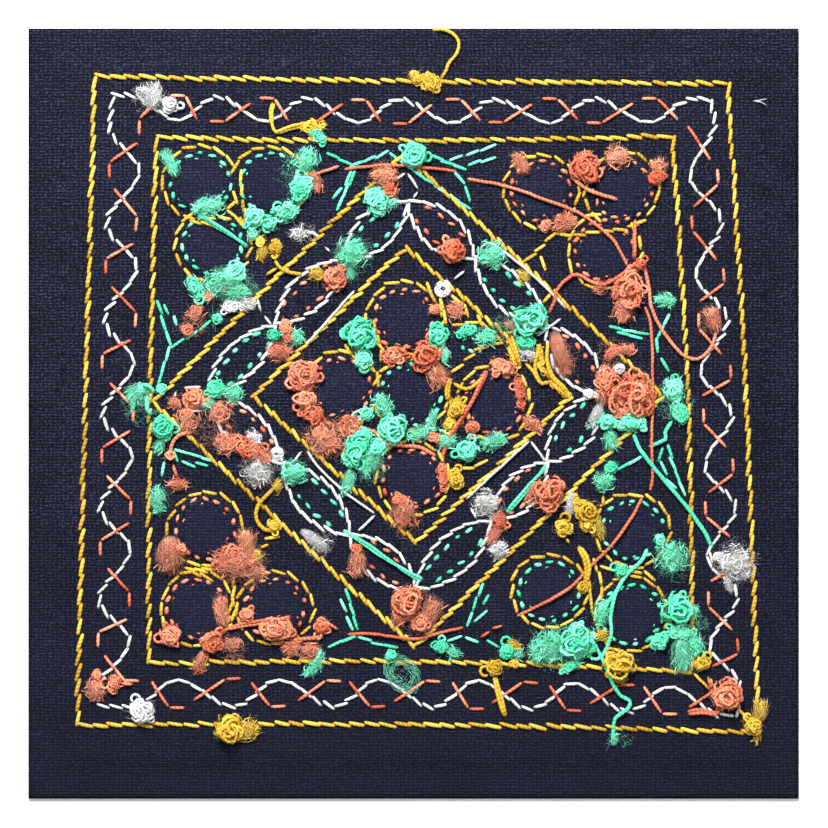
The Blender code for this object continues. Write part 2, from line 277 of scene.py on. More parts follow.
def stitchLine(threads, points, look=lineStitch, keepOff=None):
    total = sum((b - a).length for a, b in zip(points, points[1:]))
    count = max(1, round(total / look["step"]))
    step = total / count
    for place, way in walk(points, step, step / 2)[:count]:
        if not (keepOff and keepOff(place)):
            sew(threads, place, way, look, look["lean"], min(look["length"], total * 1.05))


def readLines(table):
    # lines of places on the chart, with a comma between lines; a line may start with its width
    for row in table.split(","):
        numbers = [float(number) for number in row.split()]
        width = numbers.pop(0) if len(numbers) % 2 else 0
        yield width, [onChart(*place) for place in zip(numbers[::2], numbers[1::2])]


# thread and cloth materials

threadColours = {  # shaded, middle and sunlit colour of each dyed cotton
    "yellow": ("765906", "A98212", "D4B343"),
    "orange": ("8D3219", "AF5134", "DB8F70"),
    "green": ("167D55", "37BB8C", "7EE3BE"),
    "white": ("969697", "B0B0B0", "D3D3D2"),
}
threadLook = {
    "twisted": {"Roughness": 0.55, "Specular IOR Level": 0.25, "Sheen Weight": 0.04, "Sheen Roughness": 0.5},
    "fluffy": {
        "Roughness": 0.8, "Specular IOR Level": 0.15, "Sheen Weight": 0.12, "Sheen Roughness": 0.5,
        "Subsurface Weight": 0.5, "Subsurface Radius": (1.0, 1.0, 1.0), "Subsurface Scale": 0.4 * mm,
    },
    "paintedPaleness": 0.12,  # painted light: how much paler the fluff is painted, for the light that passes between its fibres
    "plyPitch": 0.85,  # in mm
    "plyDepth": 0.045 * mm,
    "plyShade": 0.12,
    "fibrePitch": 0.12 * mm,
    "fluffDepth": 0.15 * mm,
}


def threadMaterial(colour, fluffy):
    # Mercerised cotton embroidery thread, two plies twisted: soft lustre and slanting plies.
    # Its untwisted ends, the fluffy ones, have no plies and look paler, because light passes between fibres;
    # that light is painted into their colour.
    name = f"{colour}CottonFluff" if fluffy else f"{colour}CottonThread"
    material, tree, shader, places = newMaterial(name, threadLook["fluffy" if fluffy else "twisted"])
    tone = addNode(tree, "Attribute", output="Fac", attribute_name="tone")
    patchy = addNode(tree, "TexNoise", {"Vector": places, "Scale": 260, "Detail": 2})  # dye drifts over 4 mm; with the tone it moves the colour between the painted shaded and sunlit ones
    shade = 0.05
    for part, share in ((tone, 0.45), (patchy, 0.55)):
        shade = addNode(tree, "Math", [part, share, shade], operation="MULTIPLY_ADD")
    if fluffy:
        # painted light: the fluff's colour is lifted for the light that passes between its fibres
        shade = addNode(tree, "Math", [shade, threadLook["paintedPaleness"]], operation="ADD")
        hairs = {"Vector": places, "Scale": 7000, "Detail": 2}  # 0.14 mm apart
        height = addNode(tree, "TexNoise", hairs)
        relief = {"Strength": 0.7, "Distance": threadLook["fluffDepth"]}
    else:
        lay = addNode(tree, "Attribute", output="Vector", attribute_name="lay")
        along, outX, outY = addNode(tree, "SeparateXYZ", [lay]).node.outputs
        turn = addNode(tree, "Math", [along, 2 * pi / threadLook["plyPitch"]], operation="MULTIPLY")
        sine = addNode(tree, "Math", [turn], operation="SINE")
        cosine = addNode(tree, "Math", [turn], operation="COSINE")
        oneWay = addNode(tree, "Math", [sine, outX], operation="MULTIPLY")
        ply = addNode(tree, "Math", [cosine, outY, oneWay], operation="MULTIPLY_ADD")
        # painted shade in the groove of the plies, and painted light on their crests
        shade = addNode(tree, "Math", [ply, threadLook["plyShade"], shade], operation="MULTIPLY_ADD")
        streaks = {"Vector": places, "Scale": 1 / threadLook["fibrePitch"], "Detail": 1}
        fibres = addNode(tree, "TexNoise", streaks)
        height = addNode(tree, "Math", [fibres, 0.5, ply], operation="MULTIPLY_ADD")
        relief = {"Strength": 0.8, "Distance": threadLook["plyDepth"]}
    tree.links.new(addNode(tree, "Bump", {**relief, "Height": height}), shader.inputs["Normal"])
    # the ramp runs from a painted shaded colour through the dye's colour to a painted sunlit one
    ramp = addNode(tree, "ValToRGB", [shade])
    setRamp(ramp, (0.12, 0.42, 0.85), threadColours[colour])
    tree.links.new(ramp, shader.inputs["Base Color"])
    return material


threadMaterials = {}
for colour in threadColours:
    for fluffy in (False, True):
        threadMaterials[colour, fluffy] = threadMaterial(colour, fluffy)

weave = {
    "warpPitch": 0.88 * mm,
    "weftPitch": 0.62 * mm,
    "yarnDepth": 0.16 * mm,
    "paintedPitShadeAndCrownLight": ("07080E", "12131F", "32344B"),  # painted shade in the pits, the yarns' own navy between, and the navy lightened by a painted highlight on their crowns
    "taut": "1B1E34",  # where it is stretched over a mirror
    "middle": 0.42,
    "lowerEdgeContrast": 0.45,  # how strongly the painted pit shade and crown highlight show at the lower edge, farthest from the lamp
    "loose": 1.2,  # and from the middle up, nearer the lamp
}


def clothMaterial():
    # Hand-woven cotton dyed navy: plain weave, loosely set, so gaps show between matt and uneven yarns; the
    # darkness in the gaps is painted shade.
    looks = {"Roughness": 0.7, "Specular IOR Level": 0.03}
    material, tree, shader, places = newMaterial("navyHandLoomCotton", looks)
    yarns = []
    for axis, pitch in (("X", weave["warpPitch"]), ("Y", weave["weftPitch"])):
        scale = 2 * pi / (20 * pitch)  # a wave texture repeats every 2 pi / 20 of its scale
        wave = {"Vector": places, "Scale": scale, "Distortion": 3.2, "Detail": 3, "Detail Scale": 1.4}
        yarns.append(addNode(tree, "TexWave", wave, "Fac", bands_direction=axis))
    warp = addNode(tree, "Math", [yarns[0], 0.45], operation="MULTIPLY")
    either = addNode(tree, "Math", [warp, yarns[1]], operation="MAXIMUM")
    both = addNode(tree, "Math", [warp, yarns[1]], operation="MULTIPLY")
    grid = addNode(tree, "Math", [either, 0.45, both], operation="MULTIPLY_ADD")
    stretched = addNode(tree, "Mapping", {"Vector": places, "Scale": (150, 1600, 1)})
    noises = []
    # slubs 6.7 mm long and 0.6 mm high, clouds 14 mm across, and flecks 0.4 mm across
    for vector, scale, detail in ((stretched, 1, 3), (places, 70, 4), (places, 2300, 2)):
        noises.append(addNode(tree, "TexNoise", {"Vector": vector, "Scale": scale, "Detail": detail}))
    level = -0.15
    for part, share in zip([*noises, grid], (0.3, 0.25, 1.5, 0.5)):
        level = addNode(tree, "Math", [part, share, level], operation="MULTIPLY_ADD")
    level = addNode(tree, "Math", [level, -0.72 - weave["middle"]], operation="ADD")
    # painted light: the weave's painted pit shade and crown highlight grow stronger from the lower edge up to
    # the middle, towards the lamp
    contrastTowardsLamp = {"From Min": -75 * mm, "From Max": 0, "To Min": weave["lowerEdgeContrast"], "To Max": weave["loose"]}
    upwards = addNode(tree, "SeparateXYZ", [places], "Y")
    relief = addNode(tree, "MapRange", {"Value": upwards, **contrastTowardsLamp})
    level = addNode(tree, "Math", [level, relief, weave["middle"]], operation="MULTIPLY_ADD")
    ramp = addNode(tree, "ValToRGB", [level])
    # painted shade in the pits of the weave, and a painted highlight on the crowns of the yarns
    setRamp(ramp, (0.05, 0.4, 0.95), weave["paintedPitShadeAndCrownLight"])
    taut = addNode(tree, "Attribute", output="Fac", attribute_name="taut")
    share = addNode(tree, "Math", [taut, 0.25], operation="MULTIPLY")
    colours = {"Factor": share, 6: ramp, 7: hexColour(weave["taut"])}
    tree.links.new(addNode(tree, "Mix", colours, 2, data_type="RGBA"), shader.inputs["Base Color"])
    surface = addNode(tree, "Math", [noises[2], 0.6, grid], operation="MULTIPLY_ADD")
    bump = addNode(tree, "Bump", {"Strength": 0.6, "Distance": weave["yarnDepth"], "Height": surface})
    tree.links.new(bump, shader.inputs["Normal"])
    return material


# the cloth

def makeCloth():
    bm = bmesh.new()
    cells, side = patchForm["gridCells"], patchForm["side"]
    bmesh.ops.create_grid(bm, x_segments=cells, y_segments=cells, size=side / 2)
    taut = bm.verts.layers.float.new("taut")
    for vert in bm.verts:
        vert.co.z = clothUnder(vert.co.x, vert.co.y) + 0.02 * mm
        vert[taut] = smooth((patchForm["domeRadius"] - nearestMirror(vert.co.x, vert.co.y)) / (1.2 * mm))
    raised = bmesh.ops.extrude_face_region(bm, geom=bm.faces[:])["geom"]
    raisedVerts = [item for item in raised if isinstance(item, bmesh.types.BMVert)]
    bmesh.ops.translate(bm, vec=(0, 0, patchForm["thickness"]), verts=raisedVerts)
    bmesh.ops.recalc_face_normals(bm, faces=bm.faces[:])
    for face in bm.faces:
        face.smooth = abs(face.normal.z) > 0.3
    piece = addPiece(bm, "patchCloth", clothMaterial())
    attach(piece, "root")
    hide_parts("cloth")
    print("cloth:", len(piece.data.polygons), "faces")


makeCloth()


# stitched lines

nestedLines = {  # node, corners clockwise from the upper left, and how many mm each side bows outwards
    "outerSquare": ("outer_square", [(95, 77), (727, 84), (757, 732), (78, 725)], (-0.3, 0.8, -0.9, 0.1)),
    "innerSquare": ("inner_square", [(157, 138), (672, 137), (692, 671), (149, 663)], (-0.8, 1.1, -1.1, 0.5)),
    "outerDiamond": ("outer_diamond", [(403, 155), (663, 396), (415, 646), (154, 402)], [0.3] * 4),
    "innerDiamond": ("inner_diamond", [(406, 248), (571, 396), (416, 542), (254, 397)], [0.2] * 4),
}
diamondStitch = dict(lineStitch, length=3.6 * mm, step=2.55 * mm, lean=-13)


def makeNestedLines():
    for name, (node, corners, bows) in nestedLines.items():
        dice.seed(name)
        threads = []
        corners = [onChart(*corner) for corner in corners]
        for start, end, bow in zip(corners, corners[1:] + corners[:1], bows):
            along = end - start
            outwards = leftOf(along).normalized() * (bow * mm)
            count = max(2, round(along.length / (6 * mm)))
            shares = [k / count for k in range(count + 1)]
            line = [start + along * share + outwards * sin(pi * share) for share in shares]
            stitchLine(threads, line, diamondStitch if "Diamond" in name else lineStitch)
        makeThreads(name, threads, "yellow", ["yellow_" + node])


makeNestedLines()


# the chain between the squares: a white wave, and orange stitches that cross it

borderChain = {
    # of each side: chart axis that it runs along, first and last outward turn of the wave on the chart, how
    # unevenly the turns between are spaced, height of the wave, bow of the side, and start of the orange thread
    "columns": ("axis", "first", "last", "lag", "reach", "bow", "begin"),
    "sides": [  # clockwise from the top
        (0, 130, 694, -0.085, 2.3 * mm, -0.6 * mm, 10),
        (1, 122, 685, 0.085, 2.8 * mm, 0.9 * mm, 3),
        (0, 722, 132, -0.04, 2.6 * mm, -0.9 * mm, 6),
        (1, 690, 128, -0.04, 3.0 * mm, 0.3 * mm, 6),
    ],
    "waves": 6,
    "inwardTurn": 0.55,  # place of an inward turn between two outward ones
    "white": dict(
        lineStitch, length=3.25 * mm, step=2.55 * mm, radius=0.335 * mm,
        unevenness=0.12 * mm, halves=(0.42, 0.53), radii=(0.9, 1.1),
    ),
    "radius": 0.335 * mm,
    "capHalf": 8,  # chart squares
    "gap": 17,
    "crossing": 0.35 * mm,  # height of the orange stitches over the white ones
}


def makeBorderChain():
    white, orange = [], []
    dice.seed("chain")
    look = borderChain
    outer, inner = nestedLines["outerSquare"][1], nestedLines["innerSquare"][1]
    corners = [((a[0] + b[0]) / 2, (a[1] + b[1]) / 2) for a, b in zip(outer, inner)]
    wave, offsets = [], []
    for number, row in enumerate(look["sides"]):
        side = dict(zip(look["columns"], row))
        startCorner, endCorner = corners[number], corners[(number + 1) % 4]
        start, end = onChart(*startCorner), onChart(*endCorner)
        outwards = leftOf(end - start).normalized()
        low, high = startCorner[side["axis"]], endCorner[side["axis"]]
        forwards = 1 if high > low else -1

        def at(place, offset):
            share = (place - low) / (high - low)
            bow = side["bow"] * sin(pi * min(1, max(0, share)))
            return start.lerp(end, share) + outwards * (offset * side["reach"] + bow)

        def outwardTurn(k):
            share = k / look["waves"]
            return side["first"] + (side["last"] - side["first"]) * (share + side["lag"] * share * (1 - share))

        turns = []
        for k in range(look["waves"]):
            a, b = outwardTurn(k), outwardTurn(k + 1)
            turns += [a, a + (b - a) * look["inwardTurn"]]
        turns.append(side["last"])
        for k, (a, b) in enumerate(zip(turns, turns[1:])):
            for j in range(12):
                offset = (-1) ** k * cos(pi * j / 12)
                wave.append(at(a + (b - a) * j / 12, offset))
                offsets.append(offset)
        outermost = at(turns[-1], 1)
        wave += [outermost, end + (outermost - at(turns[-1], 0)) * 0.9 + (end - start).normalized() * 2.2 * mm]
        offsets += [1, 1]

        for k, turn in enumerate(turns):
            sign = -1 if k % 2 == 0 else 1  # the orange turns lie opposite the white ones
            capHalf = look["capHalf"] * forwards
            reach = sign * between(0.95, 1.12)
            if 0 < k < len(turns) - (number == 0):  # the last is missing at the upper right corner
                a, b = at(turn - capHalf, reach * between(0.92, 1.05)), at(turn + capHalf, reach)
                stitch(orange, a, b, look["radius"])
            else:
                b = at(turn + side["begin"] * forwards, -1.0)
            if k < len(turns) - 1:
                height = -0.95 if sign > 0 else 0.62
                gap = (look["gap"] + between(-3, 3)) * forwards
                c = at(turns[k + 1] - gap, height + between(-0.12, 0.12))
                split = b.lerp(c, between(0.46, 0.56))
                onwards = (c - b).normalized() * 0.5 * mm
                stitch(orange, b, split + onwards, look["radius"], lift=look["crossing"])
                stitch(orange, split - onwards, c, look["radius"], lift=look["crossing"])
    run, wayMarks = 0.0, [0.0]
    for a, b in zip(wave, wave[1:] + wave[:1]):
        run += (b - a).length
        wayMarks.append(run)
    for number, (place, way) in enumerate(walk(wave + wave[:1], look["white"]["step"])):
        along = number * look["white"]["step"]
        nearest = min(range(len(wave)), key=lambda k: abs(wayMarks[k] - along))
        lean = -3 - 15 * smooth((offsets[nearest] + 0.3) / 0.9)
        sew(white, place, way, look["white"], lean, look["white"]["length"])
    makeThreads("whiteWave", white, "white", ["white_border_wave"])
    makeThreads("orangeChain", orange, "orange", ["orange_border_chain"])


makeBorderChain()


# the chain of leaves between the diamonds

leafChain = {
    "tips": [
        (408, 202), (474, 258), (547, 327), (601, 395), (547, 463), (491, 521),
        (416, 589), (350, 535), (283, 463), (208, 394), (276, 325), (344, 260),
    ],
    "halfWidth": 3.7 * mm,
    "dotColours": ("orange", "green"),  # in turn along the chain
    "dotInset": 0.62,
    "dots": {"step": 2.8 * mm, "length": 1.6 * mm, "radius": 0.45 * mm},
    "dash": dict(lineStitch, length=3.5 * mm, step=2.75 * mm, radius=0.345 * mm, lean=-10),
}
colouredDots = {"green": [], "orange": []}


def leafSide(start, end, width, side, ends=0.0):
    along = end - start
    left = leftOf(along).normalized()
    return [
        start + along * share + left * side * width * sin(pi * share) ** 0.75
        for share in (ends + (1 - 2 * ends) * k / 8 for k in range(9))
    ]


def scatterDots(threads, line, look):
    for place, way in walk(line, look["step"], look["step"] * 0.4):
        sew(threads, place, way, {**dotStitch, **look}, 0, look["length"])


def makeLeaves():
    lines = [], []
    dice.seed("leaves")
    look = leafChain
    tips = [onChart(*tip) for tip in look["tips"]]
    for number, (start, end) in enumerate(zip(tips, tips[1:] + tips[:1])):
        for side in (1, -1):
            line = leafSide(start, end, look["halfWidth"] * between(0.9, 1.1), side)
            stitchLine(lines[(number + (side > 0)) % 2], line, look["dash"])
            line = leafSide(start, end, look["halfWidth"] * look["dotInset"], side, 0.17)
            scatterDots(colouredDots[look["dotColours"][number % 2]], line, look["dots"])
    makeThreads("leafLineUnder", lines[0], "white", ["white_leaf_line_under"])
    makeThreads("leafLineOver", lines[1], "white", ["white_leaf_line_over"])


makeLeaves()


# rings of stitches round the mirrors

mirrorRing = {
    "outlineRadius": 7.4 * mm,
    "crowded": 6.7 * mm,  # no outline comes nearer than this to another mirror's middle
    "dotRings": [
        {"size": 5.9 * mm, "uneven": 0.02, "step": 2.45 * mm, "length": 1.55 * mm, "radius": 0.44 * mm},
        {"size": 5.0 * mm, "uneven": 0.03, "step": 5.2 * mm, "length": 0.7 * mm, "radius": 0.2 * mm},
    ],
    "dotColours": {"upperLeft": "green", "upperRight": "orange", "lowerLeft": "orange", "lowerRight": "green"},
    "centreColours": ["green", "orange", "orange", "orange", "orange"],
}
petalDots = {
    "places": [(470, 345), (474, 446), (360, 450)],
    "size": 1.6 * mm, "uneven": 0.2, "step": 2 * mm, "length": 1.3 * mm, "radius": 0.38 * mm,
}
ringStitch = dict(lineStitch, length=3.3 * mm, step=3.05 * mm, lean=-8, radius=0.37 * mm)
petals = {  # yellow lines of the petals beside the mirrors
    "middle": """
    345 345 355 358 374 370, 373 322 380 345 382 362, 452 326 478 322 490 331 503 341,
    503 341 480 349 452 373, 503 336 520 330, 440 300 447 322, 425 281 434 299, 452 297 464 306 470 318,
    477 314 484 326, 462 427 479 441, 461 470 475 467 486 460, 352 430 344 452 352 470
    """,
    "upperRight": """
    640 224 620 230 595 233 571 236, 571 236 553 234 545 243 535 253 524 263, 538 253 547 274, 552 290 543 304
    """,
    "upperLeft": "241 170 243 200 248 228, 232 215 248 230, 190 221 215 226, 200 219 233 218",
    "lowerLeft": """
    183 568 235 570, 190 570 212 579, 234 572 233 600 226 628, 265 540 280 536, 260 548 268 543
    """,
    "lowerRight": "600 567 612 570 645 573 655 580, 592 558 600 580 603 600",
}


def circle(centre, radius, uneven):
    a, b = between(0, 6.3), between(0, 6.3)
    points = []
    for k in range(37):
        angle = -2 * pi * k / 36
        bulge = 1 + uneven * (sin(2 * angle + a) + 0.6 * sin(3 * angle + b))
        points.append(centre + Vector((cos(angle), sin(angle))) * radius * bulge)
    return points


def makeRings():
    outlines = []
    dice.seed("rings")
    for group, places in mirrorPlaces.items():
        for number, place in enumerate(places):
            centre = onChart(*place)
            others = [c for c in mirrorCentres if (c - centre).length > 1 * mm]

            def crowded(point):
                return any((point - c).length < mirrorRing["crowded"] for c in others)

            outline = circle(centre, mirrorRing["outlineRadius"], 0.025)
            stitchLine(outlines, outline, ringStitch, keepOff=crowded)
            colour = mirrorRing["dotColours"].get(group) or mirrorRing["centreColours"][number]
            for look in mirrorRing["dotRings"]:
                scatterDots(colouredDots[colour], circle(centre, look["size"], look["uneven"]), look)
    for table in petals.values():
        for _, line in readLines(table):
            stitchLine(outlines, line, ringStitch)
    look = petalDots
    for place in look["places"]:
        line = circle(onChart(*place), look["size"], look["uneven"])
        scatterDots(colouredDots["green"], line, look)
    makeThreads("yellowRings", outlines, "yellow")
    for colour, threads in colouredDots.items():
        makeThreads(f"{colour}Dots", threads, colour)


makeRings()


# green sprigs at the middles of the inner square's sides

sprigStitch = dict(lineStitch, length=3.6 * mm, step=2.9 * mm, lean=4, radius=0.34 * mm)
sprigs = {
    "topLeft": "327 153 352 166 376 158 388 152, 352 171 345 185 331 200, 355 173 337 209",
    "topRight": """
    431 155 447 163 465 170, 449 160 495 146, 468 166 495 158, 455 172 466 188 469 203,
    390 153 418 175 470 210
    """,
    "leftUpper": """
    157 299 171 347, 165 304 169 316, 175 316 177 327, 171 347 190 337 212 322, 171 347 165 365 158 391
    """,
    "leftLower": "176 449 214 461, 182 461 196 468, 196 462 209 466, 175 449 178 462, 166 459 161 479",
    "rightUpper": "609 326 647 335, 618 332 640 338, 669 315 656 338, 656 338 657 354, 660 356 669 375",
    "rightLower": "663 447 656 463, 667 446 683 495, 660 460 666 478 677 490, 640 459 618 468",
    "bottomLeft": "341 597 352 631, 346 589 358 630, 328 647 356 636, 359 636 377 643 397 647",
    "bottomRight": """
    484 581 466 627, 489 594 482 606, 487 611 474 622, 463 636 429 644, 465 636 480 643, 485 637 500 649
    """,
}


def makeSprigs():
    threads = []
    dice.seed("sprigs")
    for table in sprigs.values():
        for _, line in readLines(table):
            stitchLine(threads, line, sprigStitch)
    makeThreads("greenSprigs", threads, "green")


makeSprigs()


# long threads carried from one motif to the next: width in chart squares, and the places that each passes

carriedThreads = {
    "orange": """
    4.2 343 170 384 166 420 168 458 172, 4.4 313 176 341 166,
    4.6 466 179 502 186 540 199 577 213 596 226 614 243 628 268, 7 636 219 635 240 633 262,
    5.5 570 176 588 191 618 201, 4.2 643 305 648 315 651 335 652 400 651 445 652 476 649 492,
    5 640 258 628 270 606 284 592 283 577 275 567 279 556 291 554 302 548 315,
    5 643 262 648 285 650 305 658 325 672 345 685 357 697 359 708 351 714 338 717 322,
    4.6 642 497 632 515 622 530 608 548 590 566 568 588 540 604 515 617,
    4.4 346 634 370 633 400 637 420 638 440 632 465 627, 4.2 320 617 340 630, 7 215 633 250 623 292 616,
    6 290 640 325 636, 8 488 370 465 410 450 440 443 462, 5 362 430 374 431 385 443 405 446 420 447 437 457,
    5.5 195 432 180 435 172 446 171 458, 4.2 173 463 179 480, 4.2 479 638 491 630, 4.2 490 628 504 625,
    7 686 713 700 710 716 712 722 702, 5 604 362 607 352 616 345, 5 707 675 711 690, 4.5 120 682 135 684
    """,
    "green": """
    6 633 432 640 450 655 470 672 490 690 512 703 531 713 549, 6.6 342 530 380 553 423 581,
    6.6 549 464 527 489 505 513, 6.6 200 212 212 223 230 236 249 249,
    5.5 647 547 641 560 627 573 615 592 610 615 610 635 602 655 592 658 585 648,
    5 622 582 608 600 600 618 596 632,
    5.5 592 640 600 655 607 670 613 685 620 695 629 700 627 708 615 717 613 730 613 742,
    6 132 415 136 398 143 385 152 388 155 394, 6 148 394 148 408 153 416, 5.5 673 420 664 432 665 439 647 447,
    6 322 647 318 656 312 666
    """,
    "yellow": """
    4.8 439 82 446 71 450 62 457 54 459 43 452 34 441 30 431 31,
    7 274 102 271 112 271 125 276 134 288 130 300 126 312 125,
    6 276 487 266 496 258 506 257 519 265 529 276 531, 7 494 674 499 695 506 717, 4.4 692 672 710 690,
    4.4 735 706 750 721, 7.6 509 335 514 350 520 368, 7.2 547 340 545 358 551 376 563 386 571 398,
    5.4 541 342 536 358 535 372 542 386, 5.4 524 362 533 372 541 384 552 380, 5.2 549 380 560 392 571 400,
    9 576 546 584 557 588 571 585 588, 4.4 588 575 590 595 592 615, 4.6 565 536 570 545,
    6.6 452 377 447 388 447 402, 5 452 382 461 388 471 388 485 375, 5 275 258 279 267 290 273 305 275,
    4.2 279 267 264 277, 4.4 602 508 603 494
    """,
    "white": """
    3.6 355 290 304 348, 3.6 307 450 318 466 345 492 376 514, 3.6 376 514 357 532,
    3.6 530 440 497 470 465 500, 3.6 530 440 546 463, 4 478 252 487 243 500 250 520 265 548 290 567 310,
    3.6 452 281 466 270, 3.6 535 337 562 318, 3.6 395 181 407 173, 3.6 407 173 419 191, 3.6 419 191 412 201,
    3.6 398 203 412 201, 4 183 388 203 387, 3.6 177 390 175 400, 3.6 187 411 205 411, 3.6 257 297 262 314,
    3.6 264 315 273 327, 3.6 292 464 303 450, 3.6 324 246 332 254, 3.6 470 506 477 520,
    5 305 234 313 233 320 240, 3.8 708 548 712 566, 1.3 751 102 758 101 769 99, 1.3 753 102 760 103 768 107
    """,
}
carriedLook = {
    "twoStrands": 6.5,  # wider ones are two strands
    "radius": {1: 0.37, 2: 0.25},  # share of the width, for one strand and for two
    "arch": 0.55 * mm,
    "twist": 0.3 * mm,
    "step": 1.1 * mm,
}


def through(points, step):
    # a smooth line through the points, with its ends repeated so that it starts and stops there
    ends = [points[0], *points, points[-1]]
    line = []
    for a, b, c, d in zip(ends, ends[1:], ends[2:], ends[3:]):
        count = max(2, round((c - b).length / step))
        for t in (k / count for k in range(count)):
            bend = (2 * a - 5 * b + 4 * c - d) * t * t + (3 * b - a - 3 * c + d) * t ** 3
            line.append(0.5 * ((2 * b) + (c - a) * t + bend))
    return line + [points[-1]]


def makeCarried():
    look = carriedLook
    for colour, table in carriedThreads.items():
        threads = []
        dice.seed(colour)
        for width, route in readLines(table):
            strands = 2 if width > look["twoStrands"] else 1
            radius = width * chart["square"] * look["radius"][strands]
            line = through(route, look["step"])
            last = len(line) - 1
            for strand in range(strands):
                offset = (strand * 2 - 1) * radius * 0.95 if strands == 2 else 0
                drift = between(0, 6.3)
                points, radii = [], []
                for k, point in enumerate(line):
                    way = (line[min(k + 1, last)] - line[max(k - 1, 0)]).normalized()
                    beside = leftOf(way) * (offset * cos(drift + k * 0.35))
                    arch = min(1.0, 5 * min(k / last, 1 - k / last))
                    over = look["twist"] * sin(drift + k * 0.35) if offset else 0
                    sunk = (1 - arch) * radius * 1.2
                    z = overCloth(point, radius * 0.7 + arch * (look["arch"] + over) - sunk).z
                    points.append(strayed(point + beside, 0.06 * mm).to_3d() + Vector((0, 0, z)))
                    radii.append(radius * (0 if k in (0, last) else between(0.88, 1.08)))
                threads.append((points, radii, 7, between(0.1, 0.6), 1))
        makeThreads(f"{colour}Carried", threads, colour)


makeCarried()


# knots and frayed ends: kind, place of the root, place of the tip, and width, all in chart squares; the kind is
# given where it changes

